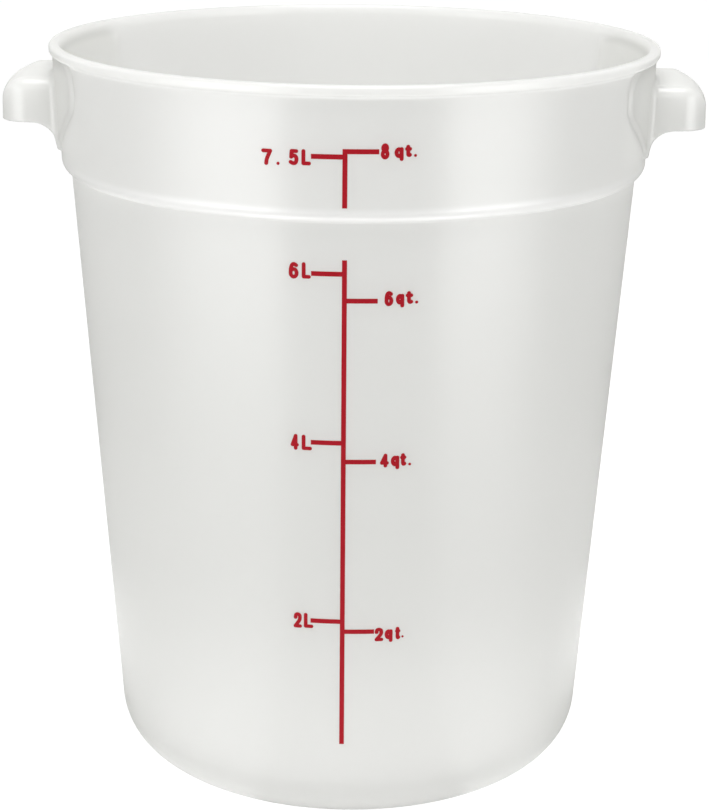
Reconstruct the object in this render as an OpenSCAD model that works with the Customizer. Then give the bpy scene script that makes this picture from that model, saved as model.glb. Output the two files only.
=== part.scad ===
/* [Tub] */
// Height from the table to the top of the rim
tub_height = 280; // [276:0.5:290]
// Diameter that the tapered wall would have at the table
foot_d = 178.3; // [174:0.1:184]
// Diameter of the tapered wall where the step begins
waist_d = 215.4; // [213.4:0.1:217]
// Thickness of the moulded walls
wall = 2.2; // [1.8:0.1:2.3]
// Thickness of the floor
floor_t = 2.6; // [2:0.1:3.5]
// Radius between the floor and the wall, outside
corner_r = 20.5; // [14:0.5:23]

/* [Foot] */
// Diameter of the hollow under the floor, inside the standing ring
hollow_d = 132; // [100:1:134]
// Depth of that hollow, by which the floor stands up in the middle
hollow_depth = 3.4; // [2:0.1:5]
// Diameter of the moulding gate's mark, in the middle of the hollow
gate_d = 7; // [4:0.5:10]
// Height of that mark
gate_h = 0.8; // [0.4:0.1:1.5]

/* [Band] */
// Height of the step from the tapered wall out to the band, at its middle
band_z = 233; // [228:0.5:235]
// Diameter that the band would have at that height
band_low_d = 222.1; // [220.5:0.1:222.3]
// Diameter that the band would have at the top of the rim
band_top_d = 226; // [224.5:0.1:226.5]
// Radius of the band's rounded lower edge
band_edge_r = 2.5; // [2.5:0.1:3.2]
// Radius of the hollow beneath that edge, where it runs into the wall
band_root_r = 2; // [2:0.1:3]

/* [Rim] */
// Outer diameter of the rim
rim_d = 230.7; // [230.2:0.1:232]
// Height of the rim's outer face
rim_h = 3.6; // [3:0.1:5]
// Radius of the rim's outer edges
rim_edge_r = 1.2; // [0.6:0.1:1.4]
// Radius of the hollow under the rim, where it runs into the band
rim_root_r = 2; // [1:0.1:2.2]
// Height of the flared lead-in inside the mouth
lead_in_h = 4; // [2:0.1:5]
// How far the lead-in opens the mouth, on the radius
lead_in_t = 1.4; // [0.8:0.1:1.6]

/* [Handles] */
// Distance over both handles
handle_span = 265.8; // [262:0.2:270]
// Width of a handle
handle_w = 51.8; // [46:0.2:54]
// Height of a handle's top face above the table
handle_z = 267.6; // [263:0.2:269]
// Height of a handle's outer end
handle_h = 16.8; // [14:0.2:18]
// Radius along the handle's top edges
handle_edge_r = 5.8; // [4:0.1:6]
// Radius of the two outer corners, seen from above
handle_corner_r = 8.6; // [8:0.1:10]
// Radius of the hollow sweep under each side web
web_sweep_r = 10; // [8:0.1:12]
// Thickness of the handle's walls
handle_wall = 2.4; // [2:0.1:3]

/* [Handle pads] */
// Width of the thickened pad that a handle stands on
pad_w = 104; // [92:1:110]
// Height at which the pad begins to narrow downwards
pad_side_z = 260.6; // [257:0.2:262]
// Thickness that the pad adds to the band
pad_t = 1.2; // [0.8:0.1:1.6]
// Radius of the pad's upper corners
pad_top_r = 9; // [5:0.5:11]
// Radius of the pad's lower corners
pad_low_r = 3; // [2:0.5:5]

/* [Printed scale] */
// Width of the printed lines
line_w = 1.7; // [1:0.1:2.5]
// Reach of a mark from the middle of the scale
mark_reach = 11.4; // [8:0.1:14]
// Thickness of the ink
ink_t = 0.12; // [0.08:0.01:0.2]
// Height at which the lower line starts
lower_line_z = 34.6; // [26:0.2:45]
// Height at which the lower line ends
lower_line_top_z = 219; // [218:0.2:223]
// Height at which the upper line starts
upper_line_z = 238; // [236.4:0.2:242]

/* [Hidden] */
$fn = 96;
// Sides of a full circle in the two small rounds of the step
step_fn = 40;

LITRES = [2, 4, 6, 7.5];
QUARTS = [2, 4, 6, 8];
litre_mm3 = 1e6;
quart_mm3 = 946353;
plastic = "whitesmoke";
ink = "firebrick";

// The two tapers, as the growth of the radius per millimetre of height
lower_slope = (waist_d - foot_d) / 2 / band_z;
band_slope = (band_top_d - band_low_d) / 2 / (tub_height - band_z);
// What one millimetre square to a tapered wall is on the radius
lower_skew = sqrt(1 + lower_slope * lower_slope);
band_skew = sqrt(1 + band_slope * band_slope);

// Outer radius of the tapered wall, and of the band, at height z
function lower_r(z) = foot_d / 2 + lower_slope * z;
function band_r(z) = band_low_d / 2 + band_slope * (z - band_z);

// Centre of a round of radius r that touches a floor at height z and a wall inside it
function lower_round(r, z, skin) = [lower_r(z + r) - (r + skin) * lower_skew, z + r];
outer_corner = lower_round(corner_r, 0, 0);
inner_corner_r = corner_r - floor_t;
inner_corner = lower_round(inner_corner_r, floor_t, wall);
// Where such a round of radius r leaves for the wall, and the same at the band
function lower_touch(r) = r / lower_skew * [1, -lower_slope];
function band_touch(r) = r / band_skew * [1, -band_slope];

// The step is an S: the band's rounded edge and the hollow beneath it meet at band_z, square
// to the line between their centres. step_sine is the sine of that line's lean.
step_reach = band_edge_r + band_root_r;
step_gap = band_edge_r * band_skew + band_root_r * lower_skew
         - (band_low_d - waist_d) / 2;
step_lean = band_edge_r * band_slope + band_root_r * lower_slope;
step_norm = pow(step_reach, 2) + pow(step_lean, 2);
step_sine = (step_gap * step_lean
             + step_reach * sqrt(step_norm - pow(step_gap, 2))) / step_norm;
edge_z = band_z + band_edge_r * step_sine;
root_z = band_z - band_root_r * step_sine;
band_edge = [band_r(edge_z) - band_edge_r * band_skew, edge_z];
band_root = [lower_r(root_z) + band_root_r * lower_skew, root_z];

// Inside of the tub: height of the step there, and radii at the floor, under and over the step
ledge_z = band_z + wall * step_sine;
floor_r = lower_r(floor_t) - wall * lower_skew;
step_low_r = lower_r(ledge_z) - wall * lower_skew;
step_high_r = band_r(ledge_z) - wall * band_skew;
// The floor's raised middle: its slope runs at 45 degrees, parallel to the one beneath
raised_r = hollow_d / 2 - hollow_depth + floor_t * (sqrt(2) - 1);

// Volume of a tapered space between two radii, and what the floor takes off it
function taper_volume(r0, r1, slope) = PI * (pow(r1, 3) - pow(r0, 3)) / (3 * slope);
corner_loss = (1 - PI / 4) * pow(inner_corner_r, 2) * 2 * PI * (floor_r - 0.22 * inner_corner_r);
floor_loss = corner_loss + PI * pow(raised_r + hollow_depth / 2, 2) * hollow_depth;
step_volume = taper_volume(floor_r, step_low_r, lower_slope) - floor_loss;

// Height to which a volume fills the tub, which places the marks of the scale
function filled_r(r0, volume, slope) = pow(pow(r0, 3) + 3 * slope * volume / PI, 1 / 3);
function fill_z(volume) = volume < step_volume
    ? floor_t + (filled_r(floor_r, volume + floor_loss, lower_slope) - floor_r) / lower_slope
    : ledge_z + (filled_r(step_high_r, volume - step_volume, band_slope) - step_high_r)
      / band_slope;

// Half a section with the S-shaped step in it, between the points below and those above;
// grow moves the skin outwards
module step_section(below, above, grow) {
    difference() {
        polygon(concat(below, [band_root - lower_touch(band_root_r - grow), band_root,
                               band_edge, band_edge + band_touch(band_edge_r + grow)],
                       above));
        translate(band_root) circle(band_root_r - grow, $fn = step_fn);
    }
    translate(band_edge) circle(band_edge_r + grow, $fn = step_fn);
}

// Outside of wall and band as half a section; grow moves its skin outwards
module outer_section(grow = 0) {
    lip_z = tub_height - rim_h;
    step_section([[0, -grow], [outer_corner.x, -grow], outer_corner,
                  outer_corner + lower_touch(corner_r + grow)],
                 [[band_r(lip_z) + grow * band_skew, lip_z], [0, lip_z]], grow);
    translate(outer_corner) circle(corner_r + grow);
}

// The rim: a lip with rounded edges, run into the band by a small hollow beneath
module rim_section() {
    lip_z = tub_height - rim_h;
    edge_x = rim_d / 2 - rim_edge_r;
    root = [band_r(lip_z - rim_root_r) + rim_root_r * band_skew, lip_z - rim_root_r];
    polygon([[0, lip_z], [edge_x, lip_z], [edge_x, lip_z + rim_edge_r],
             [rim_d / 2, lip_z + rim_edge_r], [rim_d / 2, tub_height - rim_edge_r],
             [edge_x, tub_height - rim_edge_r], [edge_x, tub_height], [0, tub_height]]);
    for (z = [lip_z + rim_edge_r, tub_height - rim_edge_r])
        translate([edge_x, z]) circle(rim_edge_r);
    difference() {
        polygon([[0, root.y], root - band_touch(rim_root_r), [root.x, lip_z], [0, lip_z]]);
        translate(root) circle(rim_root_r);
    }
}

// The space inside the tub as half a section, open at the mouth
module inner_section() {
    lead_z = tub_height - lead_in_h;
    mouth_r = band_r(lead_z) - wall * band_skew;
    lead_r = (pow(lead_in_h, 2) + pow(lead_in_t, 2)) / (2 * lead_in_t);
    step_section([[0, floor_t + hollow_depth], [raised_r, floor_t + hollow_depth],
                  [raised_r + hollow_depth, floor_t], [inner_corner.x, floor_t], inner_corner,
                  inner_corner + lower_touch(inner_corner_r)],
                 [[mouth_r, lead_z], [mouth_r, tub_height + 1], [0, tub_height + 1]], -wall);
    difference() {
        translate(inner_corner) circle(inner_corner_r);
        square([inner_corner.x, inner_corner.y]);
    }
    difference() {
        translate([mouth_r - 1, lead_z]) square([lead_in_t + 1, lead_in_h]);
        translate([mouth_r + lead_r, lead_z]) circle(lead_r);
    }
}

// One moulding: floor and hollow foot, tapered wall, stepped band and rim
module tub() {
    color(plastic) {
        rotate_extrude() difference() {
            union() {
                intersection() {
                    outer_section();
                    square([rim_d, tub_height]);
                }
                rim_section();
            }
            inner_section();
            polygon([[0, -1], [hollow_d / 2 + 1, -1], [hollow_d / 2 - hollow_depth, hollow_depth],
                     [0, hollow_depth]]);
        }
        translate([0, 0, hollow_depth - gate_h]) cylinder(h = gate_h, d = gate_d);
    }
}

// Centre of a handle's outer corner, seen from above; the other lies across the X axis
corner_ring = handle_span / 2 - handle_corner_r;
tip_y = handle_w / 2 - handle_corner_r;
tip_x = sqrt(corner_ring * corner_ring - tip_y * tip_y);
tip_angle = atan2(tip_y, tip_x);
// Where a handle's block begins, well inside the tub's wall
root_x = waist_d / 2 - 2 * handle_corner_r;
handle_low_z = handle_z - handle_h;
// Sides of a full circle in the rounded edges of that block
block_fn = 48;

// Upright section from an axis out to reach, its upper outer edge rounded
module edge_section(reach, low, top, edge_r) {
    round_c = [reach - edge_r, top - edge_r];
    polygon([[0, low], [reach, low], [reach, round_c.y], round_c, [round_c.x, top], [0, top]]);
    intersection() {
        translate(round_c) circle(edge_r);
        translate(round_c) square(edge_r);
    }
}

// A handle's block, drawn in by inset: a post with a rounded top at each outer corner and
// two like them inside the tub, drawn together with an end that is part of a ring
module handle_block(inset, low, top, edge_r) {
    hull() {
        rotate(-tip_angle) rotate_extrude(angle = 2 * tip_angle)
            edge_section(handle_span / 2 - inset, low, top, edge_r, $fn = block_fn);
        for (x = [root_x, tip_x], y = [-tip_y, tip_y])
            translate([x, y]) rotate_extrude($fn = block_fn)
                edge_section(handle_corner_r - inset, low, top, edge_r);
    }
}

// What the side webs keep of the block: a straight lower edge, then a hollow sweep to the pad
module web_profile() {
    sweep_z = handle_low_z - web_sweep_r;
    pad_r = band_r(sweep_z) + pad_t;
    web_y = (handle_w - handle_wall) / 2;
    sweep_x = sqrt(pad_r * pad_r - web_y * web_y) + web_sweep_r;
    difference() {
        polygon([[0, sweep_z], [sweep_x, sweep_z], [sweep_x, handle_low_z],
                 [handle_span, handle_low_z], [handle_span, handle_z + 1],
                 [0, handle_z + 1]]);
        translate([sweep_x, sweep_z]) circle(web_sweep_r);
    }
}

// Front view of the pad: a shield with rounded corners, cut level between the webs' feet
module pad_outline() {
    half = pad_w / 2;
    foot_y = handle_w / 2 - handle_wall;
    foot_z = handle_low_z - web_sweep_r;
    fall = atan2(pad_side_z - foot_z, half - foot_y);
    low_c = [half - pad_low_r, pad_side_z + pad_low_r * tan(fall / 2 - 45) + pad_low_r];
    low_touch = low_c + pad_low_r * [sin(fall), -cos(fall)];
    top_c = [half - pad_top_r, tub_height - rim_h - pad_top_r];
    for (side = [0, 1]) mirror([side, 0]) {
        polygon([[0, foot_z], [foot_y, foot_z], low_touch, low_c, [half, low_c.y],
                 [half, top_c.y], top_c, [top_c.x, tub_height], [0, tub_height]]);
        translate(low_c) circle(pad_low_r);
        translate(top_c) circle(pad_top_r);
    }
}

// Half a section of the band, filled, from below its rounded edge up to the rim
module band_section(grow = 0) {
    lip_z = tub_height - rim_h;
    low_z = band_z - 1;
    skin = grow * band_skew;
    polygon([[0, low_z], [band_r(low_z) + skin, low_z], [band_r(lip_z) + skin, lip_z],
             [0, lip_z]]);
}

// The thickened pad of the band under a handle, on the +X side
module handle_pad() {
    intersection() {
        rotate_extrude() band_section(pad_t);
        rotate([90, 0, 90]) linear_extrude(handle_span / 2) pad_outline();
    }
}

// A handle: a tray turned upside down, open beneath for the fingers, on its pad
module handle() {
    color(plastic) difference() {
        union() {
            handle_pad();
            intersection() {
                handle_block(0, band_z + 1, handle_z, handle_edge_r);
                translate([0, handle_w, 0]) rotate([90, 0, 0])
                    linear_extrude(2 * handle_w) web_profile();
            }
        }
        difference() {
            handle_block(handle_wall, band_z, handle_z - handle_wall,
                         handle_edge_r - handle_wall);
            rotate_extrude() band_section(pad_t);
        }
        rotate_extrude() band_section();
        rotate_extrude() rim_section();
    }
}

module right_handle() { handle(); }
module left_handle() { mirror([1, 0, 0]) handle(); }

// Ink laid on the front of the wall, over a field of the front view
module printed(x0, x1, z0, z1) {
    color(ink) intersection() {
        rotate_extrude() difference() {
            outer_section(ink_t);
            outer_section();
        }
        translate([x0, -rim_d / 2, z0]) cube([x1 - x0, rim_d / 2, z1 - z0]);
    }
}

module lower_scale_line() {
    printed(-line_w / 2, line_w / 2, lower_line_z, lower_line_top_z);
}

module upper_scale_line() {
    printed(-line_w / 2, line_w / 2, upper_line_z, fill_z(max(QUARTS) * quart_mm3) + line_w / 2);
}

// Litres are marked to the left of the line, quarts to its right
module litre_marks() {
    for (litres = LITRES) {
        z = fill_z(litres * litre_mm3);
        printed(-mark_reach, -line_w / 2, z - line_w / 2, z + line_w / 2);
    }
}

module quart_marks() {
    for (quarts = QUARTS) {
        z = fill_z(quarts * quart_mm3);
        printed(line_w / 2, mark_reach, z - line_w / 2, z + line_w / 2);
    }
}

tub();
left_handle();
right_handle();
lower_scale_line();
upper_scale_line();
litre_marks();
quart_marks();
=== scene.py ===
import math

import bpy
import numpy as np
from mathutils import Matrix, Vector


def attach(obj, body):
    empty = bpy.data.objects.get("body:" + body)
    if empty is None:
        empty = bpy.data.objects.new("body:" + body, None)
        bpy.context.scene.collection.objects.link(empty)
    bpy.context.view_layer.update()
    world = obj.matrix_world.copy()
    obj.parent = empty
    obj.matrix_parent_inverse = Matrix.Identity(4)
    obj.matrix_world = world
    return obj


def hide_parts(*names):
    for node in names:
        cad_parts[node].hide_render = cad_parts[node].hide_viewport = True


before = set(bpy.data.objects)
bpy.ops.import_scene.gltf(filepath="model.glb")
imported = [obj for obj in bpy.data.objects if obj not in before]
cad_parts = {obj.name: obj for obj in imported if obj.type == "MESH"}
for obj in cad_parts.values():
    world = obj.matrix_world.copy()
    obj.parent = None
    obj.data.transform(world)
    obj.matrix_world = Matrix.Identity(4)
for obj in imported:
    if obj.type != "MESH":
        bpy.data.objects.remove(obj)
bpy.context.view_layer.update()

# The tub: one injection moulding of natural polypropylene, 2.2 mm thick all over. Its wall
# tapers down to a rounded foot with a hollow middle, and steps out into a band that ends in
# a lipped rim. Sizes here and below are in millimetres, with +Z up and the scale at -Y.
TUB_H = 280.0
FOOT_R = 89.15
BAND_Z = 233.0
BAND_LOW_R = 111.05
TAPER = (107.7 - FOOT_R) / BAND_Z
BAND_TAPER = (113.0 - BAND_LOW_R) / (TUB_H - BAND_Z)
WALL = 2.2
WALL_SKEW = math.hypot(1, TAPER)
BAND_SKEW = math.hypot(1, BAND_TAPER)
# The step: its rounded edge over its root, with the heights of their centres
EDGE_R = 4.4
EDGE_Z = 236.564
ROOT_R = 0.8
ROOT_Z = 231.615
RIM_R = 115.35
RIM_LOW_Z = 276.4
LEAD_Z = 276.0
LEAD_OUT = 1.4


def wall_r(z):
    """Radius of the tapered wall's outside at height z."""
    return FOOT_R + TAPER * z


def band_r(z):
    """Radius of the band's outside at height z."""
    return BAND_LOW_R + BAND_TAPER * (z - BAND_Z)


def step_corners(inwards):
    """The S-shaped step as two corners with their roundings, for a skin set inwards."""
    edge = Vector((band_r(EDGE_Z) - EDGE_R * BAND_SKEW, EDGE_Z))
    root = Vector((wall_r(ROOT_Z) + ROOT_R * WALL_SKEW, ROOT_Z))
    meet = root.lerp(edge, (ROOT_R + inwards) / (ROOT_R + EDGE_R))
    lean = (root.x - edge.x) / (edge.y - root.y)
    low_z = ((meet.x - wall_r(0) + inwards * WALL_SKEW) * lean - meet.y) / (TAPER * lean - 1)
    high_z = ((meet.x - band_r(0) + inwards * BAND_SKEW) * lean - meet.y) / (
        BAND_TAPER * lean - 1)
    return [(wall_r(low_z) - inwards * WALL_SKEW, low_z, ROOT_R + inwards),
            (band_r(high_z) - inwards * BAND_SKEW, high_z, EDGE_R - inwards)]


def rounded(corners, grain=0.18):
    """A line of (radius, height, rounding) corners, each rounded by an arc of fine steps."""
    line = [Vector(corners[0][:2])]
    for before, corner, after in zip(corners, corners[1:], corners[2:]):
        here = Vector(corner[:2])
        back = (Vector(before[:2]) - here).normalized()
        ahead = (Vector(after[:2]) - here).normalized()
        half = back.angle(ahead) / 2
        centre = here + (back + ahead).normalized() * corner[2] / math.sin(half)
        start = here + back * corner[2] / math.tan(half) - centre
        end = here + ahead * corner[2] / math.tan(half) - centre
        steps = max(2, min(22, round(start.length * (math.pi - 2 * half) / grain)))
        turn = start.angle_signed(end)
        for i in range(steps + 1):
            spin = Matrix.Rotation(-turn * i / steps, 2)
            line.append(centre + spin @ start)
    line.append(Vector(corners[-1][:2]))
    return line


def spaced(line, step):
    """The same line with points added, so that none lie further apart than step."""
    out = [line[0]]
    for a, b in zip(line, line[1:]):
        parts = max(1, math.ceil((b - a).length / step))
        out += [a.lerp(b, i / parts) for i in range(1, parts + 1)]
    return out


def piece(name, points, faces):
    """A smooth piece from points in millimetres, riding on the part's one body."""
    mesh = bpy.data.meshes.new(name)
    mesh.from_pydata([tuple(p) for p in np.asarray(points) * 0.001], [], faces)
    mesh.shade_smooth()
    made = bpy.data.objects.new(name, mesh)
    bpy.context.scene.collection.objects.link(made)
    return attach(made, "root")


def turned(name, line, sides):
    """A piece spun from a half section whose two ends lie on the axis."""
    rings = np.array([p[:] for p in line[1:-1]])
    angles = np.arange(sides) * 2 * math.pi / sides
    around = np.stack([np.cos(angles), np.sin(angles)], 1)
    flat = rings[:, None, :1] * around[None]
    tall = np.broadcast_to(rings[:, None, 1:], flat.shape[:2] + (1,))
    points = np.concatenate([flat, tall], 2).reshape(-1, 3).tolist()
    points += [(0, 0, line[0][1]), (0, 0, line[-1][1])]
    last = len(rings) - 1
    faces = []
    for j in range(sides):
        k = (j + 1) % sides
        faces.append((len(points) - 2, k, j))
        faces.append((len(points) - 1, last * sides + j, last * sides + k))
        faces += [(i * sides + j, i * sides + k, (i + 1) * sides + k, (i + 1) * sides + j)
                  for i in range(last)]
    return piece(name, points, faces)


outside = rounded([
    (0, 2.6, 0), (3.5, 2.6, 0.3), (3.5, 3.4, 0.3), (62.6, 3.4, 1.2), (66, 0, 0.8),
    (FOOT_R, 0, 20.5), *step_corners(0), (band_r(RIM_LOW_Z), RIM_LOW_Z, 1.9),
    (RIM_R, RIM_LOW_Z, 1.2), (RIM_R, TUB_H, 1.2), (113.5, TUB_H, 0)])
mouth_r = band_r(LEAD_Z) - WALL * BAND_SKEW
lead_r = ((TUB_H - LEAD_Z) ** 2 + LEAD_OUT ** 2) / (2 * LEAD_OUT)
lead_in = []
for i in range(13):
    z = TUB_H - (TUB_H - LEAD_Z) * i / 12
    lead_in.append(Vector((mouth_r + lead_r - math.sqrt(lead_r ** 2 - (z - LEAD_Z) ** 2), z)))
inside = rounded([
    (mouth_r, LEAD_Z, 0), *step_corners(WALL)[::-1], (wall_r(2.6) - WALL * WALL_SKEW, 2.6, 17.9),
    (67.1, 2.6, 1.5), (63.7, 6, 1.5), (0, 6, 0)])
tub = turned("tub_moulding", spaced(outside + lead_in + inside[1:], 6), 288)
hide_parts("tub")


class Wire:
    """A socket in a material, so that sums on values read as Python. A wire with no socket
    only adds nodes."""

    def __init__(self, tree, socket=None):
        self.tree, self.socket = tree, socket

    def node(self, kind, settings=None, inputs=None, output=0):
        made = self.tree.nodes.new("ShaderNode" + kind)
        for name, value in (settings or {}).items():
            if name == "stops":
                ramp = made.color_ramp.elements
                while len(ramp) < len(value):
                    ramp.new(0.5)
                for stop, (place, colour) in zip(ramp, value):
                    stop.position, stop.color = place, colour
            else:
                setattr(made, name, value)
        for name, value in (inputs or {}).items():
            if isinstance(value, Wire):
                self.tree.links.new(value.socket, made.inputs[name])
            else:
                made.inputs[name].default_value = value
        return Wire(self.tree, made.outputs[output] if made.outputs else None)

    def sum(self, operation, first, second):
        return self.node("Math", {"operation": operation}, {0: first, 1: second})

    def __add__(self, other):
        return self.sum("ADD", self, other)

    def __sub__(self, other):
        return self.sum("SUBTRACT", self, other)

    def __mul__(self, other):
        return self.sum("MULTIPLY", self, other)

    def __rsub__(self, other):
        return self.sum("SUBTRACT", other, self)

    __radd__ = __add__
    __rmul__ = __mul__


def material(name):
    """A new material and the wire that adds its nodes."""
    made = bpy.data.materials.new(name)
    made.use_nodes = True
    made.node_tree.nodes.clear()
    return made, Wire(made.node_tree)


def ease(value, start, end):
    """0 at start, 1 at end, and a smooth change between them."""
    return value.node("MapRange", {"interpolation_type": "SMOOTHSTEP"},
                      {"Value": value, "From Min": start, "From Max": end})


MILK = (0.835, 0.84, 0.825, 1)
MILK_DENSE = (0.86, 0.86, 0.85, 1)
# Painted highlight on the step's round edge: a paler colour and a faint glow.
STEP_PAINTED_HIGHLIGHT = (0.97, 0.97, 0.97, 1)
STEP_PAINTED_GLOW = (0.12, 0.12, 0.12, 1)
# Painted light: a faint glow on the inside of the wall behind each handle's pad.
PAD_PAINTED_LIGHT = (0.19, 0.19, 0.185, 1)

# Milky plastic: light passes through the wall, and its skin has a satin gloss. The melt's
# flow leaves faint clouds in it, and the mould a very fine grain. Along the step's round
# edge a highlight is painted: a paler colour, a faint glow and a coat. Tub and handles are
# one moulding, so inside the mouth the wall is as light behind a handle's pad as beside it,
# which two pieces laid together wouldn't give: there the pads' shade is lifted by painted
# light, a faint glow on the wall behind each pad.
milky_plastic, add = material("milky_plastic")
place = add.node("TexCoord", output="Object")
clouds = add.node("TexNoise", None, {"Vector": place, "Scale": 7, "Detail": 0}, "Fac")
grain = add.node("TexNoise", None, {"Vector": place, "Scale": 900, "Detail": 2}, "Fac")
milk = add.node("Mix", {"data_type": "RGBA"}, {"Factor": clouds, 6: MILK, 7: MILK_DENSE}, 2)
level = add.node("VectorMath", {"operation": "MULTIPLY"}, {0: place, 1: (1, 1, 0)})
reach = add.node("VectorMath", {"operation": "LENGTH"}, {0: level}, "Value")
height = add.node("SeparateXYZ", None, {"Vector": place}, "Z")
side = add.node("SeparateXYZ", None, {"Vector": place}, "Y")
# The step's round edge, where the highlight is painted, with a coat there as well.
edge = ease(reach, 0.1085, 0.1096) * ease(height, 0.2385, 0.2358)
milk = add.node("Mix", {"data_type": "RGBA"}, {"Factor": edge, 6: milk, 7: STEP_PAINTED_HIGHLIGHT}, 2)
painted_glow = add.node("Mix", {"data_type": "RGBA"}, {
    "Factor": edge, 6: (0, 0, 0, 1), 7: STEP_PAINTED_GLOW}, 2)
# Painted light behind each pad, on the wall's inside, lifting the shade the pads cast there.
root = (ease(reach - 0.0415 * height, 0.1003, 0.0997) * ease(height, 0.24, 0.2435)
        * ease(side * side, 0.0029, 0.00255) * ease(height, 0.2765, 0.273))
painted_glow = add.node("Mix", {"data_type": "RGBA"}, {
    "Factor": root, 6: painted_glow, 7: PAD_PAINTED_LIGHT}, 2)
skin = add.node("Bump", None, {"Strength": 0.05, "Distance": 0.0002, "Height": grain})
body = add.node("BsdfPrincipled", None, {
    "Base Color": milk, "Roughness": 0.26, "Normal": skin, "IOR": 1.5,
    "Specular IOR Level": 1.0, "Coat Weight": edge, "Coat IOR": 1.8, "Coat Roughness": 0.25,
    "Emission Color": painted_glow, "Emission Strength": 1})
glow = add.node("BsdfTranslucent", None, {"Color": (0.91, 0.91, 0.9, 1)})
add.node("OutputMaterial", None, {
    "Surface": add.node("MixShader", None, {0: 0.58, 1: body, 2: glow})})
tub.data.materials.append(milky_plastic)

# The handles: on each side a tray turned upside down, open beneath for the fingers, whose
# side webs sweep into a thickened pad. They are moulded with the tub, so every root is
# filled. Each is the skin of a solid given as a distance, negative inside.
BLOCK_R = 132.9
BLOCK_HALF_W = 25.9
BLOCK_TOP = 267.6
BLOCK_LOW = 250.8
SWEEP_R = 10.0
SWEEP_X = 119.83
SWEEP_Z = BLOCK_LOW - SWEEP_R
SHELL = 2.4
PAD_T = 1.2
PAD_HALF_W = 52.0
PAD_SIDE_Z = 260.6
PAD_FOOT_HALF_W = 23.5


def both(a, b, rounding):
    """Inside both forms, with the edge between them rounded."""
    return (np.minimum(np.maximum(a, b), -rounding)
            + np.hypot(np.maximum(a + rounding, 0), np.maximum(b + rounding, 0)))


def either(a, b, fill):
    """Inside either form, with the corner between them filled."""
    return -both(-a, -b, fill)


def block(x, y, z, inset):
    """The handle's outline seen from above and its top, drawn in by inset. The top's edge
    is rounder at the end than along the sides."""
    reach, top = np.hypot(x, y) - BLOCK_R + inset, z - BLOCK_TOP + inset
    outline = both(reach, np.abs(y) - BLOCK_HALF_W + inset, 8.6 - inset)
    return np.maximum(both(outline, top, 4.5 - inset), both(reach, top, 9 - inset))


def handle_solid(x, y, z):
    """Distance to the handle with its pad, and to a skirt of it hidden in the wall."""
    band = (np.hypot(x, y) - band_r(z)) / BAND_SKEW
    sweep = np.where(x < SWEEP_X, SWEEP_R - np.hypot(x - SWEEP_X, z - SWEEP_Z),
                     BLOCK_LOW - z)
    tray = both(block(x, y, z, 0), np.maximum(sweep, SWEEP_Z - z), 0.5)
    fingers = both(block(x, y, z, SHELL), PAD_T - band, 1.5)
    tray = both(tray, -fingers, 0.5)
    fall = math.atan2(PAD_SIDE_Z - SWEEP_Z, PAD_HALF_W - PAD_FOOT_HALF_W)
    slope = ((np.abs(y) - PAD_FOOT_HALF_W) * math.sin(fall)
             - (z - SWEEP_Z) * math.cos(fall))
    shield = both(both(np.maximum(slope, SWEEP_Z - z), np.abs(y) - PAD_HALF_W, 3),
                  z - RIM_LOW_Z - 0.5, 9)
    whole = either(tray, both(band - PAD_T, shield, 1.0), 2.2)
    whole = either(whole, band + 0.12, 1.3)
    return np.maximum(np.maximum(whole, shield - 1.6), -0.9 - band)


def skin_of(solid, low, high, step):
    """The skin of a solid as points and quads: a point for each cell of a grid that the skin
    passes through, then drawn onto the skin itself."""
    lines = [np.arange(a, b + step, step) for a, b in zip(low, high)]
    grid = np.stack(np.meshgrid(*lines, indexing="ij"), -1)
    value = solid(grid[..., 0], grid[..., 1], grid[..., 2])
    cells = tuple(n - 1 for n in value.shape)
    total, count = np.zeros(cells + (3,)), np.zeros(cells)
    crossings = []
    for axis in range(3):
        ends = [slice(None)] * 3
        ends[axis] = slice(0, -1)
        first = value[tuple(ends)]
        ends[axis] = slice(1, None)
        second = value[tuple(ends)]
        edge = np.argwhere((first < 0) != (second < 0))
        inner = [a for a in range(3) if a != axis]
        edge = edge[np.all([(edge[:, a] > 0) & (edge[:, a] < cells[a]) for a in inner], 0)]
        a, b = first[tuple(edge.T)], second[tuple(edge.T)]
        spot = grid[tuple(edge.T)].copy()
        spot[:, axis] += step * a / (a - b)
        ring = []
        for back in ((0, 0), (1, 0), (1, 1), (0, 1)):
            cell = edge.copy()
            cell[:, inner[0]] -= back[0]
            cell[:, inner[1]] -= back[1]
            np.add.at(total, tuple(cell.T), spot)
            np.add.at(count, tuple(cell.T), 1)
            ring.append(cell)
        crossings.append((np.stack(ring, 1), (a < 0) == (axis != 1)))
    used = count > 0
    number = np.cumsum(used.ravel()).reshape(cells) - 1
    points = total[used] / count[used][:, None]
    reach = 0.05 * step
    for _ in range(4):
        far = solid(*points.T)
        slope = np.stack([(solid(*(points + d).T) - solid(*(points - d).T)) / (2 * reach)
                          for d in np.eye(3) * reach], 1)
        move = slope * (far / np.maximum((slope ** 2).sum(1), 0.25))[:, None]
        points -= np.clip(move, -0.4 * step, 0.4 * step)
    faces = []
    for ring, outward in crossings:
        quads = number[tuple(np.moveaxis(ring, -1, 0))]
        faces += np.where(outward[:, None], quads[:, ::-1], quads).tolist()
    return points, faces


handle_points, handle_faces = skin_of(handle_solid, (98, -56, 237), (134.2, 56, 280),
                                      0.55)
right_handle = piece("right_handle_moulding", handle_points, handle_faces)
left_handle = piece("left_handle_moulding", handle_points * (-1, 1, 1),
                    [face[::-1] for face in handle_faces])
for handle, node in ((right_handle, "right_handle"), (left_handle, "left_handle")):
    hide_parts(node)
    handle.data.materials.append(milky_plastic)

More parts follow.
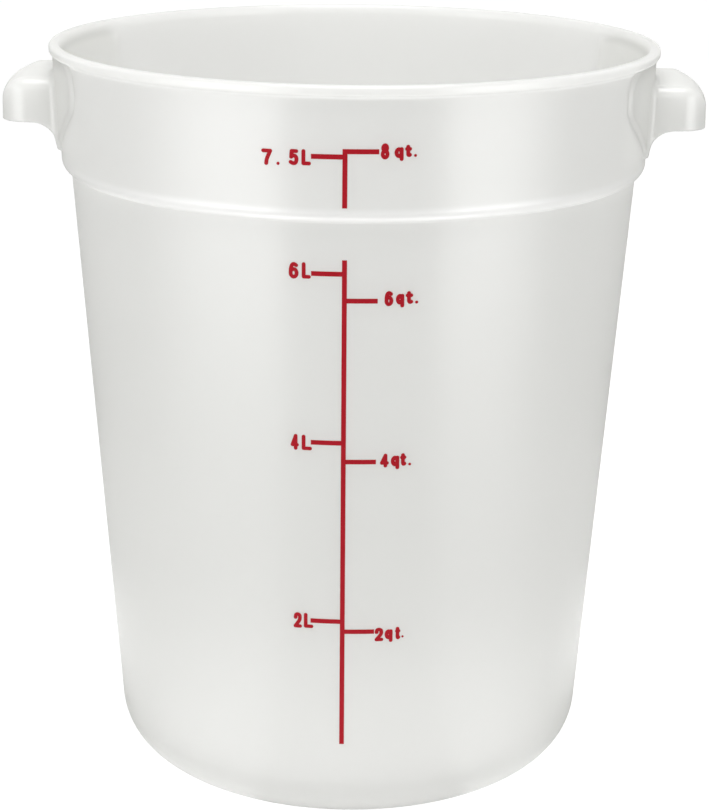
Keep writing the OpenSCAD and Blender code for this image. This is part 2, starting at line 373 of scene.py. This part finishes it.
# The scale's lines and marks: red ink, screen-printed on the wall. They are the frame's own
# nodes, which need only their finish.
INK = (0.36, 0.003, 0.009, 1)
INK_THIN = (0.42, 0.006, 0.018, 1)
red_ink, add = material("red_ink")
place = add.node("TexCoord", output="Object")
patches = add.node("TexNoise", None, {"Vector": place, "Scale": 260, "Detail": 2}, "Fac")
ink = add.node("Mix", {"data_type": "RGBA"}, {"Factor": patches, 6: INK, 7: INK_THIN}, 2)
add.node("OutputMaterial", None, {"Surface": add.node("BsdfPrincipled", None, {
    "Base Color": ink, "Roughness": 0.42 + 0.1 * patches, "IOR": 1.5,
    "Specular IOR Level": 0.15})})
for name in ("lower_scale_line", "upper_scale_line", "litre_marks", "quart_marks"):
    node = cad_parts[name]
    node.data.materials.clear()
    node.data.materials.append(red_ink)

# The numerals: the same ink, litres on the left of the line and quarts on its right. Each
# is drawn as strokes of a round-ended pen in a box, and laid on the wall 0.12 mm thick.
PEN = 0.66
INK_T = 0.12
DEPTH_SCALE = 5.0


def loop(cx, cy, rx, ry):
    """A closed oval stroke."""
    return [(cx + rx * math.cos(a), cy + ry * math.sin(a))
            for a in np.linspace(0, 2 * math.pi, 25)]


def curve(*points):
    """A smooth stroke through its points."""
    p = [Vector(q) for q in (points[0], *points, points[-1])]
    out = []
    for a, b, c, d in zip(p, p[1:], p[2:], p[3:]):
        for t in np.arange(0, 1, 0.125):
            out.append(tuple(0.5 * (2 * b + (c - a) * t + (2 * a - 5 * b + 4 * c - d) * t ** 2
                                    + (3 * b - a - 3 * c + d) * t ** 3)))
    return out + [points[-1]]


STROKES = {
    "2": [curve((0.02, 0.72), (0.14, 0.94), (0.5, 1), (0.88, 0.92), (0.97, 0.7),
                (0.8, 0.46), (0.3, 0.17), (0, 0)), [(0, 0), (1, 0)]],
    "4": [[(1, 0.27), (0, 0.27), (0.7, 1), (0.7, 0)]],
    "5": [[(0.95, 1), (0.16, 1), (0.08, 0.52)],
          curve((0.08, 0.52), (0.45, 0.64), (0.85, 0.56), (1, 0.32), (0.84, 0.07),
                (0.45, 0), (0, 0.1))],
    "6": [loop(0.5, 0.3, 0.5, 0.3),
          curve((0, 0.32), (0.05, 0.66), (0.24, 0.92), (0.55, 1), (0.92, 0.9))],
    "7": [[(0, 1), (1, 1)], curve((1, 1), (0.74, 0.66), (0.5, 0.32), (0.42, 0))],
    "8": [loop(0.5, 0.77, 0.4, 0.23), loop(0.5, 0.27, 0.5, 0.27)],
    "L": [[(0, 1), (0, 0), (1, 0)]],
    "q": [loop(0.46, 0.65, 0.46, 0.35), [(0.96, 1), (0.96, 0)]],
    "t": [curve((0.38, 1), (0.38, 0.5), (0.42, 0.1), (0.68, 0), (1, 0.04)),
          [(0, 0.74), (1, 0.74)]],
    ".": [[(0.5, 0.45), (0.5, 0.55)]]}
# Each row: its sign, left and right edge across the wall, lower and upper edge in height
LITRE_SIGNS = [
    ("7", -28.2, -24.5, 252.0, 257.6), (".", -23.1, -21.9, 252.2, 253.3),
    ("5", -18.9, -15.6, 252.4, 257.9), ("L", -14.6, -11.4, 252.5, 258.0),
    ("6", -19.1, -15.7, 211.9, 217.8), ("L", -14.6, -11.5, 212.1, 217.9),
    ("4", -18.5, -15.6, 149.1, 155.0), ("L", -14.6, -11.0, 149.2, 154.9),
    ("2", -17.5, -14.5, 80.5, 86.5), ("L", -13.8, -10.4, 80.7, 86.5)]
QUART_SIGNS = [
    ("8", 11.9, 14.8, 254.9, 260.4), ("q", 16.5, 19.6, 254.3, 259.0),
    ("t", 20.0, 22.3, 255.6, 259.8), (".", 23.0, 24.0, 255.6, 256.6),
    ("6", 13.7, 16.7, 202.6, 208.0), ("q", 17.6, 20.5, 202.0, 206.9),
    ("t", 20.9, 23.5, 203.2, 207.8), (".", 24.1, 25.3, 203.2, 204.3),
    ("4", 12.8, 15.9, 143.1, 148.3), ("q", 16.6, 19.6, 142.3, 147.4),
    ("t", 19.8, 22.0, 143.5, 148.2), (".", 22.7, 23.7, 143.5, 144.5),
    ("2", 11.6, 14.7, 75.9, 81.2), ("q", 15.2, 18.1, 75.4, 80.4),
    ("t", 18.9, 20.8, 76.3, 81.2), (".", 21.2, 22.0, 76.8, 77.8)]


def sign_skin(sign, left, right, low, high):
    """The raised ink of one sign, as points and quads on the wall."""
    radius = min(PEN, (right - left) / 2 - 0.01, (high - low) / 2 - 0.01)
    corner = np.array([left + radius, low + radius])
    size = np.array([right - left - 2 * radius, high - low - 2 * radius])
    pieces = []
    for stroke in STROKES[sign]:
        stroke = corner + np.array(stroke) * size
        pieces += list(zip(stroke, stroke[1:]))

    def ink_solid(x, depth, z):
        near = np.full(x.shape, 1e9)
        for a, b in pieces:
            along = b - a
            t = ((x - a[0]) * along[0] + (z - a[1]) * along[1]) / (along @ along)
            t = np.clip(t, 0, 1)
            near = np.minimum(near, np.hypot(x - a[0] - t * along[0], z - a[1] - t * along[1]))
        return both(near - radius, np.abs(depth) - INK_T * DEPTH_SCALE, 0.1)

    margin = 0.45
    points, faces = skin_of(ink_solid, (left - margin, -1.2, low - margin),
                            (right + margin, 1.2, high + margin), 0.15)
    x, depth, z = points.T
    r = np.where(z < BAND_Z, wall_r(z), band_r(z)) - depth / DEPTH_SCALE
    return np.stack([x, -np.sqrt(r ** 2 - x ** 2), z], 1), faces


for name, signs in (("litre_numerals", LITRE_SIGNS), ("quart_numerals", QUART_SIGNS)):
    points, faces = [], []
    for sign in signs:
        own_points, own_faces = sign_skin(*sign)
        faces += [[i + len(points) for i in face] for face in own_faces]
        points += own_points.tolist()
    numerals = piece(name, points, faces)
    numerals.data.materials.append(red_ink)

# The setting: a pale floor, two tall soft lights in front, left and right, and a broad one
# overhead. To the camera the floor and the world are white; in reflections the world is white
# and the floor shows painted light.
floor_mesh = bpy.data.meshes.new("floor")
floor_mesh.from_pydata([(x, y, 0) for x, y in ((-30, -30), (30, -30), (30, 30), (-30, 30))],
                       [], [(0, 1, 2, 3)])
floor = bpy.data.objects.new("floor", floor_mesh)
bpy.context.scene.collection.objects.link(floor)


def seen(add, *kinds):
    """1 for a ray of one of these kinds, 0 for any other."""
    path = add.node("LightPath").socket.node
    return add.node("Math", {"operation": "MINIMUM"}, {0: 1, 1: sum(
        Wire(add.tree, path.outputs["Is %s Ray" % kind]) for kind in kinds)})


# To the camera the floor is white with a faint shadow. In the tub's gloss the floor shows
# painted light: a bright patch before its foot and two pools of light left and right, painted
# in the floor's own glow where the side lights would cast them.
pale_floor, add = material("pale_floor")
spot = add.node("TexCoord", output="Object")
across = add.node("SeparateXYZ", None, {"Vector": spot})
front = Wire(add.tree, across.socket.node.outputs["Y"])
far = add.node("VectorMath", {"operation": "LENGTH"}, {0: spot}, "Value")
bearing = add.node("Math", {"operation": "ARCTAN2"}, {0: across, 1: 0 - front})
before = ease(bearing, -1.4, -0.7) * ease(bearing, 1.4, 0.7)
painted_pools = (ease(bearing, -0.36, -0.48) * ease(bearing, -1.6, -0.75)
         + ease(bearing, 0.55, 0.67) * ease(bearing, 1.55, 0.95))
painted_gloss_floor = ((1.1 + 1.6 * before) * ease(far, 0.26, 0.15) * ease(far, 0.1, 0.13)
         + 0.5 * ease(far, 0.12, 0.16) * ease(far, 0.5, 0.3) * (1 - before)
         + (1.2 + 4.1 * ease(far, 0.25, 0.9)) * painted_pools)
white = add.node("Emission", None, {"Color": (1, 1, 1, 1), "Strength": 1.13})
gloss = add.node("Emission", None, {"Strength": 1, "Color": add.node(
    "CombineXYZ", None, {"X": painted_gloss_floor, "Y": painted_gloss_floor, "Z": painted_gloss_floor})})
paint = add.node("AddShader", None, {
    0: add.node("BsdfDiffuse", None, {"Color": (0.85, 0.85, 0.85, 1)}),
    1: add.node("Emission", None, {"Color": (1, 1, 1, 1), "Strength": 0.32})})
shown = add.node("MixShader", None, {
    0: 0.8 * seen(add, "Camera", "Transmission"), 1: paint, 2: white})
add.node("OutputMaterial", None, {"Surface": add.node(
    "MixShader", None, {0: seen(add, "Glossy"), 1: shown, 2: gloss})})
floor.data.materials.append(pale_floor)

world = bpy.data.worlds.new("studio")
bpy.context.scene.world = world
world.use_nodes = True
world.node_tree.nodes.clear()
add = Wire(world.node_tree)
room = add.node("Background", None, {"Color": (1, 1, 1, 1), "Strength": 0.2})
sheet = add.node("Background", None, {"Color": (1, 1, 1, 1), "Strength": 1})
add.node("OutputWorld", None, {"Surface": add.node("MixShader", None, {
    0: seen(add, "Camera", "Glossy", "Transmission"), 1: room, 2: sheet})})


def soft_light(name, azimuth, height, distance, width, tall, power):
    """A rectangular light aimed at the tub; azimuth 0 is in front, 90 to the right."""
    lamp = bpy.data.lights.new(name, "AREA")
    lamp.shape = "RECTANGLE"
    lamp.size, lamp.size_y, lamp.energy = width, tall, power
    made = bpy.data.objects.new(name, lamp)
    a = math.radians(azimuth)
    made.location = (distance * math.sin(a), -distance * math.cos(a), height)
    aim = Vector((0, 0, 0.15)) - made.location
    made.rotation_euler = aim.to_track_quat("-Z", "Y").to_euler()
    made.visible_camera = False
    bpy.context.scene.collection.objects.link(made)


soft_light("left_light", -53, 0.6, 1.5, 0.9, 1.2, 6.3)
soft_light("right_light", 55, 0.6, 1.5, 0.8, 1.2, 4.3)
soft_light("top_light", 0, 1.5, 0.3, 0.9, 0.9, 17)

# The camera, fitted to the photograph of 709 by 812 pixels: nearly level with the scale's
# middle, a little to its right, and rolled by half a degree.
PICTURE_W, PICTURE_H = 709, 812
FOCUS_PX = 2231.33
AXIS_Y_PX = 242.68
camera_data = bpy.data.cameras.new("camera")
camera_data.sensor_width = 36
camera_data.lens = 36 * FOCUS_PX / PICTURE_H
camera_data.shift_y = (AXIS_Y_PX - PICTURE_H / 2) / PICTURE_H
camera_data.clip_start = 0.05
camera = bpy.data.objects.new("camera", camera_data)
ahead = Vector((-0.024, 0.97474, -0.22204)).normalized()
level = ahead.cross(Vector((0, 0, 1))).normalized()
roll = math.radians(0.561)
right = level * math.cos(roll) + level.cross(ahead) * math.sin(roll)
up = right.cross(ahead)
camera.matrix_world = Matrix([
    (right.x, up.x, -ahead.x, 0.02145), (right.y, up.y, -ahead.y, -0.8434),
    (right.z, up.z, -ahead.z, 0.39305), (0, 0, 0, 1)])
bpy.context.scene.collection.objects.link(camera)
bpy.context.scene.camera = camera
bpy.context.scene.view_settings.view_transform = "Standard"
